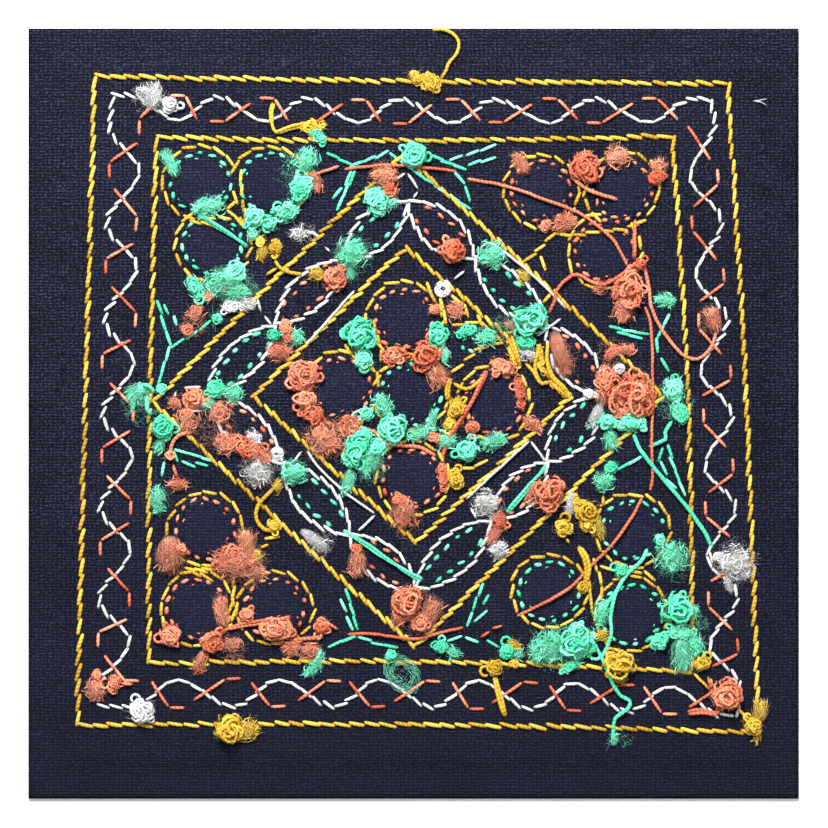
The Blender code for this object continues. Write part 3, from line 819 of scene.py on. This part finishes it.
threadEnds = {
    "green": """
    brush 178 178 164 150 13, fluff 190 212 228 203 20, coil 248 218 262 218 20, fluff 255 228 252 242 12,
    coil 262 224 276 224 16, curls 276 218 300 208 18, 298 205 303 178 20, coil 294 186 312 186 20,
    fluff 304 172 310 150 24, curls 310 126 326 146 12, 190 276 202 300 14, fluff 203 292 240 274 26,
    coil 228 274 244 272 20, fluff 226 296 252 290 18, coil 213 319 222 319 11, 402 156 427 156 26,
    curls 372 185 382 218 22, fluff 388 206 397 200 10, 340 262 362 244 30, brush 346 262 354 282 10,
    fluff 478 262 505 250 26, bights 510 318 548 322 28, coil 514 338 536 346 16, curls 206 386 228 392 18,
    fluff 226 396 244 392 18, 202 404 214 404 14, coil 267 335 281 335 12, fluff 292 330 302 346 14,
    coil 153 426 173 430 22, 160 436 172 436 12, brush 164 438 156 454 12, 146 386 128 402 22,
    coil 159 389 166 389 9, fluff 158 484 158 516 14, bights 360 318 360 352 30, curls 358 352 370 366 18,
    coil 438 322 438 350 20, brush 445 348 445 366 9, curls 454 332 478 330 12, fluff 476 336 496 338 20,
    376 392 390 418 16, coil 360 410 372 418 14, bights 376 427 408 433 28, fluff 404 438 438 426 15,
    brush 430 428 436 408 9, curls 366 424 350 470 26, 385 437 371 457 18, fluff 378 444 363 478 20,
    brush 352 470 344 496 14, fluff 438 440 456 440 18, coil 456 444 476 456 22, fluff 478 444 508 438 16,
    280 474 308 470 24, curls 668 376 678 402 20, 676 402 682 424 16, coil 598 422 614 422 16,
    curls 608 424 646 422 18, brush 608 430 613 452 15, coil 606 467 616 467 12, fluff 612 474 594 488 18,
    652 298 677 304 13, 670 540 670 574 30, coil 654 536 664 542 10, 614 570 627 570 13,
    bights 576 622 576 660 36, fluff 548 664 550 628 30, curls 582 658 560 671 10, fluff 600 628 602 598 14,
    bights 676 594 676 622 30, fluff 688 604 696 616 12, curls 666 628 696 636 16, coil 650 640 666 640 18,
    brush 681 636 682 674 22, curls 694 634 696 656 14, fluff 324 650 306 678 13, coil 386 655 396 655 12,
    oval 392 660 413 687 28, coil 432 646 450 646 13, fluff 450 648 457 656 12, coil 498 650 516 652 16,
    fluff 512 656 522 650 12, 536 660 544 640 24, 613 734 614 744 7, haze 618 738 632 742 12,
    206 284 262 290 44, 140 386 142 424 40, 158 486 160 512 26, 352 250 358 262 40, 290 160 304 184 42,
    552 636 552 656 52, 672 548 676 570 42, 374 450 368 486 32, 490 328 530 326 32, 690 606 690 660 40,
    664 386 682 420 40
    """,
    "orange": """
    brush 312 172 320 194 13, curls 205 302 214 290 10, fluff 212 290 232 287 10, 202 306 190 320 16,
    coil 183 330 193 332 12, haze 178 316 208 332 26, 172 540 172 576 36, 220 566 268 566 50,
    314 424 340 456 52, 396 508 412 528 40, 196 412 232 440 46, 372 176 398 182 34, 558 340 566 380 30,
    600 350 620 356 30, 216 645 250 650 30, 700 318 716 330 26, 404 600 438 628 50, fluff 369 174 398 178 20,
    curls 384 178 396 200 14, coil 324 278 347 278 24, brush 527 176 515 152 13, bights 584 150 584 186 28,
    fluff 604 164 630 152 22, coil 648 178 662 178 16, fluff 658 176 658 158 16, coil 540 226 550 226 12,
    fluff 550 230 578 216 18, bights 608 290 646 292 32, brush 622 302 622 322 24, fluff 592 286 606 289 12,
    coil 634 268 646 262 12, brush 716 332 708 306 16, fluff 612 350 636 350 12, curls 606 362 603 398 18,
    brush 606 366 602 408 16, bights 612 394 650 394 42, curls 612 412 632 412 14, coil 452 238 454 264 24,
    brush 554 332 566 378 16, fluff 506 322 512 328 8, curls 283 318 290 344 12, fluff 266 352 294 352 18,
    168 402 182 404 12, coil 184 398 205 400 22, fluff 186 406 190 434 22, coil 168 455 174 455 9,
    fluff 166 484 190 484 12, 220 402 220 422 22, 216 436 236 450 22, curls 228 438 272 462 18,
    380 358 408 354 18, coil 412 356 440 356 28, brush 430 364 446 388 22, bights 288 376 320 376 32,
    coil 296 396 318 404 22, curls 304 404 322 424 18, fluff 318 426 334 452 34, 336 428 362 424 24,
    curls 340 424 362 434 18, 430 312 440 308 10, fluff 448 306 462 316 18, curls 442 462 444 490 9,
    490 362 516 372 16, 518 374 521 412 11, fluff 521 416 544 432 12, coil 466 427 478 427 13,
    393 500 406 500 14, brush 404 504 404 522 28, bights 532 492 562 494 34, fluff 526 502 540 486 14,
    curls 494 512 504 530 14, brush 500 526 488 546 14, 172 536 168 574 24, coil 177 549 187 549 12,
    fluff 208 562 262 562 30, coil 224 555 242 555 20, brush 248 562 248 528 18, fluff 244 572 268 570 14,
    coil 171 622 171 648 20, brush 225 628 219 594 13, coil 203 641 222 641 22, fluff 222 643 243 643 12,
    brush 206 650 196 674 14, coil 240 614 254 614 15, curls 258 628 295 628 22, fluff 284 646 300 646 20,
    coil 317 626 327 626 16, fluff 302 650 320 648 18, coil 352 546 362 552 11, brush 357 550 357 578 19,
    bights 395 600 422 600 30, fluff 399 604 399 628 14, coil 412 620 430 622 20, brush 424 626 438 598 18,
    fluff 96 676 97 702 18, coil 94 674 102 674 9, curls 116 674 114 692 14, bights 724 678 724 710 28,
    curls 606 360 618 346 7, 424 432 448 444 9
    """,
    "white": """
    brush 160 108 142 86 18, 158 104 156 82 9, coil 163 105 178 105 16, fluff 306 234 292 233 14,
    curls 221 309 246 304 12, brush 240 304 258 304 16, ring 434 289 452 289 18, haze 250 444 270 486 44,
    716 560 752 566 48, 148 94 150 106 36, 480 504 498 512 36, 306 534 330 552 30, 296 234 312 234 24,
    fluff 246 434 262 442 14, 250 462 268 484 24, ring 270 454 284 454 15, fluff 474 500 498 506 24,
    488 552 508 546 18, ring 613 370 625 368 11, coil 583 394 592 394 9, brush 600 404 590 430 11,
    571 490 568 520 8, fluff 522 352 534 354 16, 718 562 748 562 30, brush 726 574 730 594 8,
    coil 712 556 724 556 9, brush 744 552 746 580 12, coil 130 710 156 710 26, brush 302 530 330 550 12,
    fluff 643 388 649 400 6, ring 640 384 648 390 10
    """,
    "yellow": """
    curls 420 80 442 86 16, 412 74 424 86 11, ring 410 74 417 76 9, coil 426 84 438 84 14,
    curls 300 128 328 128 12, 257 238 264 246 9, brush 264 246 260 262 11, coil 276 238 276 258 13,
    fluff 308 276 326 274 14, 518 272 528 280 12, coil 456 396 456 420 16, 444 424 455 424 14,
    455 466 455 490 16, 563 519 563 536 17, 578 508 596 514 22, 585 517 585 530 14, brush 594 512 601 541 12,
    curls 575 492 577 514 7, 508 336 518 370 9, 538 342 544 376 6, 548 378 570 398 8,
    fluff 256 564 258 548 11, bights 230 713 230 742 26, fluff 240 730 258 728 20, coil 487 667 501 667 16,
    507 663 520 663 8, fluff 508 640 520 650 12, bights 605 662 632 662 27, fluff 594 634 608 634 12,
    616 678 624 680 10, coil 692 664 708 662 15, 744 725 760 725 18, brush 758 722 761 698 15,
    757 732 755 743 7, coil 577 588 588 586 13, 268 525 281 525 13, fluff 274 490 282 482 10
    """,
}
endLook = {
    "spread": 1.16,  # the widths in the table are of the close part
    "loopThread": 0.3 * mm,  # radius of the thread in a knot
    "loopSize": (0.6 * mm, 1.15 * mm),  # radius of its loops, in a small and in a large knot
    "wispRadius": 0.11 * mm,
    "wispLength": (1.2, 2.8),  # in mm
    "fibreRadius": 0.033 * mm,
    "fibreLength": (0.9, 2.4),
    "hazeRadius": 0.021 * mm,
    "hazeLength": (0.7, 1.9),
    "fluffDensity": 0.26,  # fibres to a chart square
    "brushDensity": 0.21,
    "wispDensity": 0.07,
    "knotHeight": 0.46,  # shares of its width
    "tallest": 3.3 * mm,
}
roundHeart = (0, 0.5, 0.78, 0.94, 1, 0.94, 0.78, 0.5, 0)
fanHeart = (0, 0.28, 0.36, 0.5, 0.66, 0.82, 0.92, 0.7, 0)
fibreProfile = ((0, 0), (0.33, 1), (0.72, 0.85), (1, 0))  # place and thickness


def tuftHeight(width):
    return min(endLook["tallest"], max(0.8 * mm, width * endLook["knotHeight"]))


def axesOf(end, width):
    # middle, directions along and across, half length and half width; an end is its root and its tip
    root, tip = end
    along = tip - root
    long = along.normalized()
    return (root + tip) / 2, long, leftOf(long), max(along.length, width) / 2, width / 2


def addHeart(fibres, end, width, profile=roundHeart, size=0.8):
    # the close middle of a knot or a frayed end, where no cloth shows through
    middle, long, wide, halfLong, halfWide = axesOf(end, width)
    height = tuftHeight(width)
    points, radii = [], []
    for k, thickness in enumerate(profile):
        share = 0.06 + 0.88 * k / (len(profile) - 1)
        flat = middle - long * halfLong * (1 - 2 * share) + wide * between(-0.06, 0.06) * width
        points.append(overCloth(flat, height * 0.3))
        radii.append(halfWide * size * thickness * between(0.85, 1.1))
    # the heart's tone is kept low, towards the shaded colour: painted shade between the loops laid over it
    fibres.append((points, radii, 9, between(0.15, 0.5), min(1, height * 0.62 / halfWide)))


def addLoops(threads, end, width, inLine=False, thinner=1.0, share=1.0, slack=1.0):
    # thread in curling loops that wander over the knot and cross each other
    middle, long, wide, halfLong, halfWide = axesOf(end, width)
    smallest, largest = endLook["loopSize"]
    loop = min(width * 0.3, largest, max(smallest, width * 0.19)) * slack
    thread = min(endLook["loopThread"], loop * 0.32) * thinner
    count = min(20, max(5, round(share * 1.7 * halfLong * halfWide / loop ** 2)))
    height = tuftHeight(width)
    slant = turned(Vector((1, 0)), between(-75, 75))
    centres = []
    for k in range(count):
        out = sqrt((k + 0.5) / count)
        angle = k * 2.4 + between(-0.3, 0.3)
        across, away = out * cos(angle), out * sin(angle)
        order = across if inLine else across * slant.x + away * slant.y + dice.gauss(0, 0.3)
        level = (1 - out * out) * between(0.6, 1.0)
        across, away = across + dice.gauss(0, 0.13), away + dice.gauss(0, 0.13)
        centre = middle + long * (halfLong - loop) * across + wide * (halfWide - loop) * away
        centres.append((order, centre, level))
    centres.sort(key=lambda centre: centre[0])
    spin = dice.choice((-1, 1))
    turn = between(0, 2 * pi)
    points, radii = [], []
    for (_, a, levelA), (_, b, levelB) in zip(centres, centres[1:] + centres[-1:]):
        size = loop * between(0.6, 1.35)
        narrow, lie = between(0.55, 1.0), between(0, pi)
        tilt = between(0, 2 * pi)
        swing = 2 * pi * between(0.85, 1.2) / 8
        for j in range(8):
            turn += spin * swing
            around = turned(Vector((cos(turn - lie), sin(turn - lie) * narrow)), degrees(lie))
            flat = a.lerp(b, smooth(j / 8)) + around * size
            level = levelA + (levelB - levelA) * j / 8
            points.append(overCloth(flat, thread * 0.8 + level * height + loop * 0.3 * (1 + sin(turn + tilt))))
            radii.append(thread * between(0.85, 1.12))
        if dice.random() < 0.2:
            spin = -spin
    radii[0] = radii[-1] = 0
    threads.append((points, radii, 5, dice.random(), 1))


def addStrays(threads, end, width, count):
    # loops that were left long, standing out of a knot to one side
    middle, long, wide, halfLong, halfWide = axesOf(end, width)
    thread = endLook["loopThread"] * min(1, width / (3.6 * mm))
    for _ in range(round(count)):
        angle = between(0, 2 * pi)
        x, y = cos(angle), sin(angle)
        out = long * x + wide * y
        base = middle + long * halfLong * 0.62 * x + wide * halfWide * 0.62 * y
        across = leftOf(out) * between(0.3, 0.75) * dice.choice((-1, 1))
        reach = between(0.3, 0.55) * min(width, 3.4 * mm)
        points, radii = [], []
        for k in range(11):
            turn = 2 * pi * k / 10 * 0.86
            flat = base + (out * (1 - cos(turn)) / 2 + across * sin(turn) * 0.8) * reach
            arch = (0.3 + 0.7 * sin(turn / 2 + 0.4)) * (1 - k / 25)
            points.append(overCloth(flat, thread + 0.7 * mm * arch))
            radii.append(thread * (0 if k in (0, 10) else between(0.85, 1.05)))
        threads.append((points, radii, 5, dice.random(), 1))


def addFibre(fibres, start, end, sag, bend, radius=endLook["fibreRadius"], sides=3):
    # one loose fibre from start to end, curled to one side and the other
    along = end - start
    side = Vector((-along.y, along.x, 0))
    points, radii = [], []
    radius = radius * between(0.7, 1.3)
    curl = between(1.0, 2.4)
    for share, thickness in fibreProfile:
        point = start + along * share + side * bend * sin(pi * share * curl)
        point.z += sag * sin(pi * share)
        points.append(point)
        radii.append(radius * thickness)
    fibres.append((points, radii, sides, dice.random(), 1))


def addWisps(fibres, end, width, count, fan=0.0):
    # opened plies of the thread, curled over each other: the streaks in a frayed end
    middle, long, wide, halfLong, halfWide = axesOf(end, width)
    height = tuftHeight(width)
    for _ in range(count):
        share, aside = between(0.12, 0.88), max(-1, min(1, dice.gauss(0, 0.5)))
        narrow = sqrt(max(0.05, 1 - (2 * share - 1) ** 2)) * (1 - fan) + fan * (0.3 + 0.7 * share)
        place = middle + long * halfLong * (2 * share - 1) + wide * halfWide * aside * narrow
        length = between(*endLook["wispLength"]) * mm
        half = turned(long, dice.gauss(aside * 35 * fan, 32 - 18 * fan)) * length / 2
        level = height * (0.25 + 0.6 * (1 - aside * aside)) * between(0.5, 1.05)
        ends = [overCloth(flat, 0.1 * mm + level * between(0.1, 0.9)) for flat in (place - half, place + half)]
        addFibre(fibres, *ends, level * 0.35, dice.gauss(0, 0.2), endLook["wispRadius"], 4)


def addFluff(fibres, end, width, count, loose=0.4):
    # fibres teased out of the thread: most lie along it, and a thin haze stands off on all sides
    middle, long, wide, halfLong, halfWide = axesOf(end, width)
    height = tuftHeight(width)
    for _ in range(round(count)):
        angle, out = between(0, 2 * pi), dice.random() ** 0.6
        x, y = out * cos(angle), out * sin(angle)
        flat = middle + long * halfLong * 0.86 * x + wide * halfWide * 0.86 * y
        kind = "haze" if dice.random() < loose else "fibre"
        hazy = kind == "haze"
        reach = between(*endLook[kind + "Length"]) * mm
        heading = turned(long, between(0, 360) if hazy else dice.gauss(8, 26) + 180 * dice.randrange(2)) * reach
        rise = height * (1 - out ** 2) * between(0.55, 1.0) + between(0, 0.2) * mm
        start = overCloth(flat, 0.08 * mm + rise) - heading.to_3d() * 0.45
        fall = between(-0.6, 0.3) * min(reach, rise + 0.1 * mm)
        tip = start + Vector((heading.x, heading.y, fall))
        for point in (start, tip):
            point.z = max(point.z, overCloth(point, 0).z)
        bend = dice.gauss(0, 0.5 if hazy else 0.18)
        addFibre(fibres, start, tip, between(-0.05, 0.25) * mm, bend, endLook[kind + "Radius"])


def addBrush(fibres, end, width, count):
    # the cut end of a thread, combed out into a fan
    root, tip = end
    along = tip - root
    long = along.normalized()
    wide = leftOf(long)
    height = tuftHeight(width)
    for _ in range(round(count)):
        spread = max(-1.1, min(1.1, dice.gauss(0, 0.5)))
        a = root + wide * spread * width * 0.2 - long * between(0, 0.4) * mm
        b = root + along * between(0.55, 1.12) + wide * (spread * width * 0.5 + dice.gauss(0, 0.12 * mm))
        start = overCloth(a, 0.3 * mm + between(0, 0.4) * height)
        tipUp = overCloth(b, 0.1 * mm + between(0, 0.9) * height * max(0.05, 1 - spread ** 2))
        addFibre(fibres, start, tipUp, between(0.1, 0.45) * mm, dice.gauss(0, 0.05))


def addRing(threads, end, width):
    # turns of thread, one inside the other, round a small open middle
    middle, long, wide, halfLong, halfWide = axesOf(end, width)
    thread = min(0.28 * mm, width * 0.12)
    for turn in range(3):
        points, radii = [], []
        begin = between(0, 2 * pi)
        for k in range(15):
            angle = begin + 2 * pi * 1.05 * k / 14
            bulge = (1 - 0.27 * turn) * (1 + 0.06 * sin(2 * angle + turn))
            x, y = (halfLong - thread) * bulge * cos(angle), (halfWide - thread) * bulge * sin(angle)
            height = thread * (0.9 + 0.5 * turn + 0.5 * sin(3 * angle))
            points.append(overCloth(middle + long * x + wide * y, height))
            radii.append(thread * (0 if k in (0, 14) else 1))
        threads.append((points, radii, 7, between(0.4, 0.9), 1))


def addOval(fibres, end, width):
    # a loop of untwisted thread laid flat: fibres follow the oval, and the cloth shows faintly in its middle
    middle, long, wide, _, halfWide = axesOf(end, width)
    ovalHalf = (end[1] - end[0]).length * 0.66
    for _ in range(420):
        out = between(0.45, 1.0) if dice.random() < 0.88 else between(0.1, 0.5)
        a = between(0, 2 * pi)
        b = a + between(0.35, 0.7)
        ends = []
        for angle in (a, b):
            flat = middle + long * ovalHalf * out * cos(angle) + wide * halfWide * out * sin(angle)
            ends.append(overCloth(flat, between(0.1, 0.9) * mm))
        addFibre(fibres, *ends, 0.05 * mm, -0.12)


def addEnd(loops, fibres, kind, end, wide, area):
    width = wide * chart["square"] * endLook["spread"]
    wisps = round(5 + area * endLook["wispDensity"])
    if kind == "coil":
        addHeart(fibres, end, width)
        addLoops(loops, end, width, slack=1 + min(1, wide / 36) * 0.3)
        addLoops(loops, end, width, thinner=0.85, share=0.6)
        addStrays(loops, end, width, area / 300)
        addFluff(fibres, end, width * 1.15, 24 + area * 0.07, loose=0.8)
    elif kind == "bights":  # a large knot of slack loops
        addHeart(fibres, end, width, size=0.62)
        for thinner in (1.08, 0.95, 1.0):
            addLoops(loops, end, width * 1.04, thinner=thinner, share=0.42, slack=1.4)
        addStrays(loops, end, width, 3)
        addWisps(fibres, end, width * 0.9, wisps)
        addFluff(fibres, end, width * 1.15, 24 + area * 0.08, loose=0.8)
    elif kind == "curls":
        addLoops(loops, end, width, inLine=True)
        addLoops(loops, end, width, inLine=True, thinner=0.75, share=0.6)
        addWisps(fibres, end, width * 0.9, wisps)
        addStrays(loops, end, width, area / 450)
        addFluff(fibres, end, width * 1.15, 20 + area * 0.09, loose=0.6)
    elif kind == "fluff":
        addHeart(fibres, end, width, size=0.5)
        addLoops(fibres, end, width * 0.85, inLine=True, thinner=0.55, share=0.35)
        addWisps(fibres, end, width, wisps)
        addFluff(fibres, end, width * 1.1, 34 + area * endLook["fluffDensity"])
    elif kind == "oval":
        addOval(fibres, end, width)
    elif kind == "haze":
        addFluff(fibres, end, width, area * 0.11, loose=1.0)
    elif kind == "ring":
        addRing(loops, end, width / endLook["spread"])
        addFluff(fibres, end, width, 30, loose=0.9)
    else:  # a brush
        addHeart(fibres, end, width, fanHeart, 0.42)
        addWisps(fibres, end, width, wisps, fan=1.0)
        addBrush(fibres, end, width, 44 + area * endLook["brushDensity"])
        addFluff(fibres, end, width, area * 0.06, loose=0.8)


def makeEnds():
    for colour, table in threadEnds.items():
        loops, fibres = [], []
        dice.seed("ends " + colour)
        for row in table.split(","):
            *words, x0, y0, x1, y1, wide = row.split()
            kind = words[0] if words else kind
            x0, y0, x1, y1, wide = float(x0), float(y0), float(x1), float(y1), float(wide)
            area = max(hypot(x1 - x0, y1 - y0), wide * 0.8) * wide
            addEnd(loops, fibres, kind, (onChart(x0, y0), onChart(x1, y1)), wide, area)
        kinds = [f"{colour}_{word}" for word in ("end", "knot", "tail", "loop", "ball", "oval")]
        nodes = [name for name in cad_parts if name.startswith(tuple(kinds))]
        makeThreads(f"{colour}Knots", loops, colour, nodes)
        half = len(fibres) // 2
        makeThreads(f"{colour}FluffOne", fibres[:half], colour, fluffy=True)
        makeThreads(f"{colour}FluffTwo", fibres[half:], colour, fluffy=True)


makeEnds()


# mirrors

def mirrorMaterial():
    # Small mirror of hand-blown glass, silvered behind: bright, with a faint ripple from blowing.
    looks = {"Base Color": hexColour("E4E8E8"), "Metallic": 1.0, "Roughness": 0.06}
    material, tree, shader, places = newMaterial("silveredGlass", looks)
    ripple = addNode(tree, "TexNoise", {"Vector": places, "Scale": 180, "Detail": 1})  # 5.5 mm across
    bump = addNode(tree, "Bump", {"Strength": 0.2, "Distance": 0.05 * mm, "Height": ripple})
    tree.links.new(bump, shader.inputs["Normal"])
    return material


silveredGlass = mirrorMaterial()
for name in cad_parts:
    if name.startswith("mirror_"):
        materials = bpy.data.objects[name].data.materials
        materials.clear()
        materials.append(silveredGlass)
print("mirrors: silvered glass on", len(mirrorCentres), "discs")


# floor, light and camera

studio = {
    "frameWidth": 165.45 * mm,
    "lens": 100,
    "sensor": 36,
    "lamps": {
        "key": {"size": 0.22, "power": 9.5, "place": (-0.08, 0.36, 0.43)},
        "fill": {"size": 0.8, "power": 2.2, "place": (0.4, -0.3, 0.6)},
    },
    "ambient": 0.38,
    "floorSize": 3,
    "floorColours": ("F1F1F0", "F6F6F5"),
}


def makeStudio():
    # matt white paper, faintly mottled
    material, tree, shader, places = newMaterial("whitePaper", {"Roughness": 0.9})
    mottle = addNode(tree, "TexNoise", {"Vector": places, "Scale": 30})
    ramp = addNode(tree, "ValToRGB", [mottle])
    setRamp(ramp, (0.3, 0.7), studio["floorColours"])
    tree.links.new(ramp, shader.inputs["Base Color"])
    bm = bmesh.new()
    bmesh.ops.create_grid(bm, x_segments=4, y_segments=4, size=studio["floorSize"] / 2)
    bmesh.ops.translate(bm, vec=(0, 0, -0.05 * mm), verts=bm.verts[:])
    addPiece(bm, "floor", material)

    for name, lamp in studio["lamps"].items():
        light = bpy.data.lights.new(name, "AREA")
        light.size = lamp["size"]
        light.energy = lamp["power"]
        piece = bpy.data.objects.new(name, light)
        piece.location = lamp["place"]
        piece.rotation_euler = (-Vector(lamp["place"])).to_track_quat("-Z", "Y").to_euler()
        scene.collection.objects.link(piece)

    world = bpy.data.worlds.new("studio")
    world.use_nodes = True
    background = world.node_tree.nodes["Background"]
    background.inputs["Color"].default_value = hexColour("FFFFFF")
    background.inputs["Strength"].default_value = studio["ambient"]
    scene.world = world
    scene.view_settings.view_transform = "Standard"

    camera = bpy.data.cameras.new("camera")
    camera.lens = studio["lens"]
    camera.sensor_width = studio["sensor"]
    eye = bpy.data.objects.new("camera", camera)
    eye.location = (0.1 * mm, -0.1 * mm, studio["frameWidth"] * studio["lens"] / studio["sensor"] + 1 * mm)
    scene.collection.objects.link(eye)
    scene.camera = eye
    print("studio: floor,", len(studio["lamps"]), "lamps and the camera")


makeStudio()
